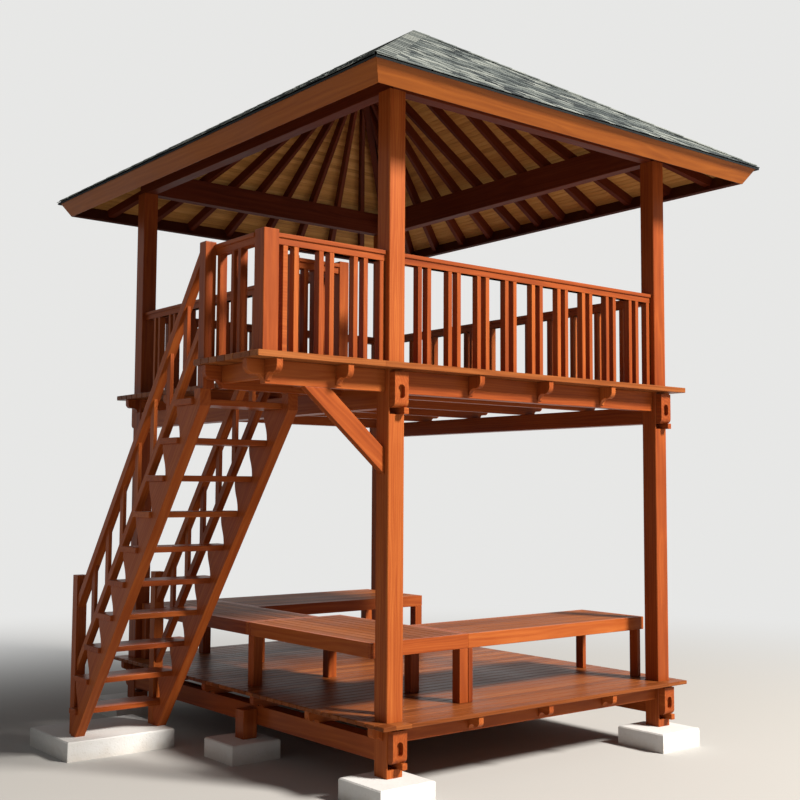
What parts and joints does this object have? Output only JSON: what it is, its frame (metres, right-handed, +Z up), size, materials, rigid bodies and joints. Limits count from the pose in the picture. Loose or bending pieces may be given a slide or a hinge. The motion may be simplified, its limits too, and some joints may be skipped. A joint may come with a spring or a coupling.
{
  "type": "two-storey timber gazebo",
  "caption": "Open two-storey timber gazebo on concrete pads, with a hipped shingle roof, paired-baluster railings, a side landing with an open stair, and daybeds on the lower floor",
  "frame": {"origin": "on the axis of the front left post, at the underside of its pad", "axes": "X along the front to the right, Y from front to back, Z up"},
  "size_m": [5.1667, 5.4752, 6.655],
  "materials": {
    "varnished_timber": "glossy varnish",
    "roof_timber": "satin varnish",
    "fascia_timber": "satin varnish",
    "deck_boards": "glossy varnish",
    "bench_boards": "glossy varnish",
    "ceiling_boards": "satin varnish",
    "roof_shingles": "matt granules",
    "cap_shingles": "matt granules",
    "painted_concrete": "matt paint"
  },
  "bodies": {
    "root": {"bench_aprons_across": "varnished_timber", "bench_aprons_along": "varnished_timber", "bench_legs": "varnished_timber", "bench_tops": "bench_boards", "ceiling_ends": "ceiling_boards", "ceiling_left": "ceiling_boards", "ceiling_right": "ceiling_boards", "corner_posts": "varnished_timber", "end_plates": "roof_timber", "fascia_ends": "fascia_timber", "fascia_sides": "fascia_timber", "hip_and_ridge_caps": "cap_shingles", "hip_rafters": "roof_timber", "landing_beams": "varnished_timber", "landing_brace": "varnished_timber", "landing_deck": "deck_boards", "landing_joists": "varnished_timber", "landing_posts": "varnished_timber", "lower_brackets": "varnished_timber", "lower_deck": "deck_boards", "lower_joists": "varnished_timber", "lower_rim_beams": "varnished_timber", "lower_side_beams": "varnished_timber", "middle_stub_posts": "varnished_timber", "post_pads": "painted_concrete", "rafters_ends": "roof_timber", "rafters_sides": "roof_timber", "rail_back": "varnished_timber", "rail_front": "varnished_timber", "rail_landing": "varnished_timber", "rail_left": "varnished_timber", "rail_right": "varnished_timber", "ridge_block": "roof_timber", "roof_cover_ends": "roof_shingles", "roof_cover_left": "roof_shingles", "roof_cover_right": "roof_shingles", "side_plates": "roof_timber", "stair_newels": "varnished_timber", "stair_pad": "painted_concrete", "stair_rails": "varnished_timber", "stair_stringers": "varnished_timber", "stair_treads": "varnished_timber", "tenon_wedges": "varnished_timber", "upper_brackets": "varnished_timber", "upper_deck": "deck_boards", "upper_joists": "varnished_timber", "upper_rim_beams": "varnished_timber", "upper_side_beams": "varnished_timber"}
  },
  "joints": []
}
